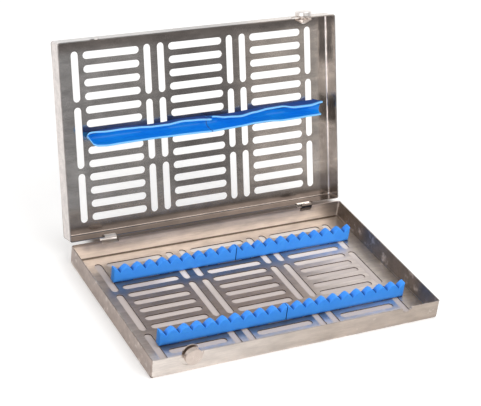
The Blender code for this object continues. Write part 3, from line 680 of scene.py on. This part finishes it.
def stripPiece(word, facts):
    # lofted through its sections; the lid's own X runs against the strip, which starts at the
    # picture's left
    side = stripSides[word]
    start = startOf(facts, word)
    work = bmesh.new()
    rows = []
    for station in range(facts["stations"] + 1):
        part = station / facts["stations"]
        crowded = 0.5 - 0.5 * math.cos(math.pi * part)
        part = crowded + facts["evenShare"] * (part - crowded)
        x = facts["length"] * part
        flare = facts["endFlare"] * max(0.0, 1 - x / facts["endReach"]) if side["endLips"] else 0
        slant = side["cutSlant"] * max(0.0, 1 - (facts["length"] - x) / facts["endReach"])
        row = []
        for across, height, level in stripSection(x, side, facts):
            torn = 0.5 - across / facts["slantAcross"] / facts["halfMouth"]
            u = start + x - flare * level - slant * torn
            spot = Vector((u / facts["rippleLength"], across / facts["rippleAcross"],
                           facts["rippleRow"]))
            ripple = noise.noise(spot) * facts["ripple"]
            rise = height + ripple * (height - seat) / facts["top"]
            row.append(work.verts.new(Vector((-u, -tray["depth"] / 2 - across, rise)) * mm))
        rows.append(row)
    for first, second in zip(rows, rows[1:]):
        for i in range(len(first)):
            j = (i + 1) % len(first)
            work.faces.new((first[i], first[j], second[j], second[i]))
    if not side["endLips"]:
        work.faces.new(rows[0])
    work.faces.new(rows[-1])
    bmesh.ops.remove_doubles(work, verts=work.verts, dist=facts["mergeWithin"] * mm)
    bmesh.ops.dissolve_degenerate(work, dist=facts["meltWithin"] * mm, edges=work.edges)
    bmesh.ops.recalc_face_normals(work, faces=work.faces)
    body = meshFrom(work, "strip")
    places = [-x for x in plugPlaces(start, facts["length"], side["plugShares"])]
    mesh = joinedMesh(body, plugMeshes(places, -tray["depth"] / 2, facts["plugWidth"]))
    mesh.transform(trayPlace("lid"))
    piece = linkPiece("strip_" + word, mesh)
    smoothShade(piece.data, facts["smoothAngle"])
    useMaterial(piece, stripMaterial)
    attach(piece, "lid")
    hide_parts("lid_strip_" + word)


for word in stripSides:
    stripPiece(word, strips)
print("soft strips made")

cameraView = {
    "place": (-0.579239, -0.948042, 0.736718), "clip": (0.05, 50.0),
    "heading": 30.5199, "tilt": 30.4060, "roll": 7.29438,   # degrees
    "lens": 110.60, "sensor": 36.0,
}


def addCamera(view):
    heading, tilt, roll = (math.radians(view[word]) for word in ("heading", "tilt", "roll"))
    ahead = Vector((math.sin(heading) * math.cos(tilt), math.cos(heading) * math.cos(tilt),
                    -math.sin(tilt)))
    level = ahead.cross(Vector((0, 0, 1))).normalized()
    up = level.cross(ahead)
    right = level * math.cos(roll) + up * math.sin(roll)
    top = up * math.cos(roll) - level * math.sin(roll)
    data = bpy.data.cameras.new("studio_camera")
    data.lens = view["lens"]
    data.sensor_width = view["sensor"]
    data.clip_start, data.clip_end = view["clip"]
    camera = bpy.data.objects.new("studio_camera", data)
    bpy.context.scene.collection.objects.link(camera)
    turn = Matrix((right, top, -ahead)).transposed().to_4x4()
    camera.matrix_world = Matrix.Translation(view["place"]) @ turn
    bpy.context.scene.camera = camera


# zones: painted shade under the base, painted lighter at its back right, and a painted shadow under
# the lid that leans back
paper = {"size": 3600.0, "drop": 0.1, "color": "#F8F7F6", "roughness": 0.9, "whiteShare": 0.16,
         "zones": ({"middle": (0, -6.2, 0), "half": (137, 87, 5), "soft": (2, 2, 1),
                    "color": "#CBBFBA"},
                   {"middle": (40, 60, 0), "half": (97, 22, 5), "soft": (30, 40, 1),
                    "color": "#F4E8DF"},
                   {"middle": (20, 98, 0), "half": (124, 16, 5), "soft": (13, 13, 1),
                    "color": "#776A62"})}


def addFloor(facts):
    work = bmesh.new()
    bmesh.ops.create_grid(work, x_segments=2, y_segments=2, size=facts["size"] / 2 * mm)
    floor = linkPiece("floor", meshFrom(work, "floor"))
    floor.location.z = -facts["drop"] * mm
    # seamless paper sweep: matt white that the camera and the steel see as a white ground, greyer
    # in its zones of painted shade
    material, tree, own = startMaterial("seamless_paper_floor")
    path = addNode(tree, "ShaderNodeLightPath")
    seen = addNode(tree, "ShaderNodeMath", {"operation": "MAXIMUM"},
                   {0: path.outputs["Is Camera Ray"], 1: path.outputs["Is Glossy Ray"]})
    seenAll = addNode(tree, "ShaderNodeMath", {"operation": "MAXIMUM"},
                      {0: seen.outputs[0], 1: path.outputs["Is Transmission Ray"]})
    glow = addNode(tree, "ShaderNodeMath", {"operation": "MULTIPLY", 1: facts["whiteShare"]},
                   {0: seenAll.outputs[0]})
    color = None
    for zone in facts["zones"]:
        share = softZone(tree, own, zone)
        mixed = addNode(tree, "ShaderNodeMix",
                        {"data_type": "RGBA", 6: linearColor(facts["color"]),
                         7: linearColor(zone["color"])}, {0: share})
        if color:
            tree.links.new(color, mixed.inputs[6])
        color = mixed.outputs[2]
        rest = addNode(tree, "ShaderNodeMapRange", {"To Min": 1.0, "To Max": 0.0}, {0: share})
        glow = addNode(tree, "ShaderNodeMath", {"operation": "MULTIPLY"},
                       {0: glow.outputs[0], 1: rest.outputs[0]})
    matt = addNode(tree, "ShaderNodeBsdfPrincipled", {"Roughness": facts["roughness"]},
                   {"Base Color": color})
    white = addNode(tree, "ShaderNodeEmission", {}, {"Strength": glow.outputs[0]})
    both = addNode(tree, "ShaderNodeAddShader", {}, {0: matt.outputs[0], 1: white.outputs[0]})
    addNode(tree, "ShaderNodeOutputMaterial", {}, {"Surface": both.outputs[0]})
    useMaterial(floor, material)


# strength of the room's light from three sides, and the parts of its direction over which one
# passes into the next
room = {"top": 0.85, "front": 0.37, "back": 1.15, "frontToBack": (-0.6, 0.5),
        "sideToTop": (0.1, 0.8)}


def addWorld(facts):
    world = bpy.data.worlds.new("studio_room")
    bpy.context.scene.world = world
    world.use_nodes = True
    tree = world.node_tree
    tree.nodes.clear()
    place = addNode(tree, "ShaderNodeTexCoord")
    parts = addNode(tree, "ShaderNodeSeparateXYZ", {}, {0: place.outputs["Generated"]})
    low, high = facts["frontToBack"]
    depth = addNode(tree, "ShaderNodeMapRange",
                    {"interpolation_type": "SMOOTHSTEP", "From Min": low, "From Max": high,
                     "To Min": facts["front"], "To Max": facts["back"]},
                    {0: parts.outputs["Y"]})
    low, high = facts["sideToTop"]
    height = addNode(tree, "ShaderNodeMapRange",
                     {"interpolation_type": "SMOOTHSTEP", "From Min": low, "From Max": high},
                     {0: parts.outputs["Z"]})
    level = addNode(tree, "ShaderNodeMix", {"data_type": "FLOAT", 3: facts["top"]},
                    {0: height.outputs[0], 2: depth.outputs[0]})
    light = addNode(tree, "ShaderNodeBackground", {"Color": (1, 1, 1, 1)},
                    {"Strength": level.outputs[0]})
    addNode(tree, "ShaderNodeOutputWorld", {}, {"Surface": light.outputs[0]})


softBoxes = (
    {"name": "key_softbox", "place": (0.60, -1.05, 1.10), "aim": (0, 0, 0.05), "size": (1.7, 1.1),
     "watts": 13.0},
    {"name": "fill_softbox", "place": (-1.35, -0.95, 0.45), "aim": (0, 0, 0.05), "size": (1.2, 0.9),
     "watts": 7.5},
)


def addSoftBox(facts):
    data = bpy.data.lights.new(facts["name"], "AREA")
    data.shape = "RECTANGLE"
    data.size, data.size_y = facts["size"]
    data.energy = facts["watts"]
    lamp = bpy.data.objects.new(facts["name"], data)
    bpy.context.scene.collection.objects.link(lamp)
    lamp.location = facts["place"]
    lamp.visible_camera = False
    aim = Vector(facts["aim"]) - Vector(facts["place"])
    lamp.rotation_euler = aim.to_track_quat("-Z", "Y").to_euler()


addCamera(cameraView)
addFloor(paper)
addWorld(room)
for box in softBoxes:
    addSoftBox(box)
bpy.context.scene.view_settings.view_transform = "Standard"
print("camera, floor and light set")
